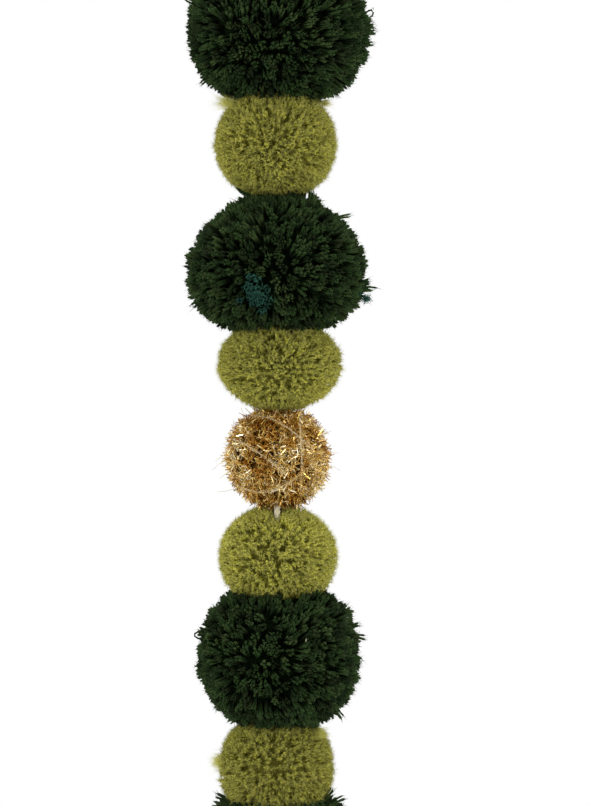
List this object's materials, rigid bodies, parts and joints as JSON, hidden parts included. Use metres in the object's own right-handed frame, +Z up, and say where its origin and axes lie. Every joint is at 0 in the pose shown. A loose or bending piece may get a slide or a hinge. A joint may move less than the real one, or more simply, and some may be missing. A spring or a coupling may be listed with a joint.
{
  "type": "pom pom garland",
  "caption": "Hanging garland of large and small yarn pompoms and a tinsel ball threaded on a cotton cord with a hanging loop.",
  "frame": {"origin": "crown of the hanging loop in the top of the cord, at the middle of the cord's thickness", "axes": "+Z up along the cord; the garland hangs down -Z; the loop lies in the XZ plane and -Y is the side pictured"},
  "size_m": [0.0779, 0.0773, 0.465],
  "materials": {
    "dark_yarn": "matt cut wool-like yarn, bottle green",
    "light_yarn": "soft matt cut yarn, moss green",
    "tinsel": "gold metallised film, cut into short bristles",
    "cotton_cord": "unbleached twisted cotton"
  },
  "bodies": {
    "root": {"cord": "cotton_cord", "pompom_1_dark": "dark_yarn", "pompom_2_light": "light_yarn", "pompom_3_dark": "dark_yarn", "pompom_4_light": "light_yarn", "tinsel_ball": "tinsel", "pompom_6_light": "light_yarn", "pompom_7_dark": "dark_yarn", "pompom_8_light": "light_yarn", "pompom_9_dark": "dark_yarn"}
  },
  "joints": []
}
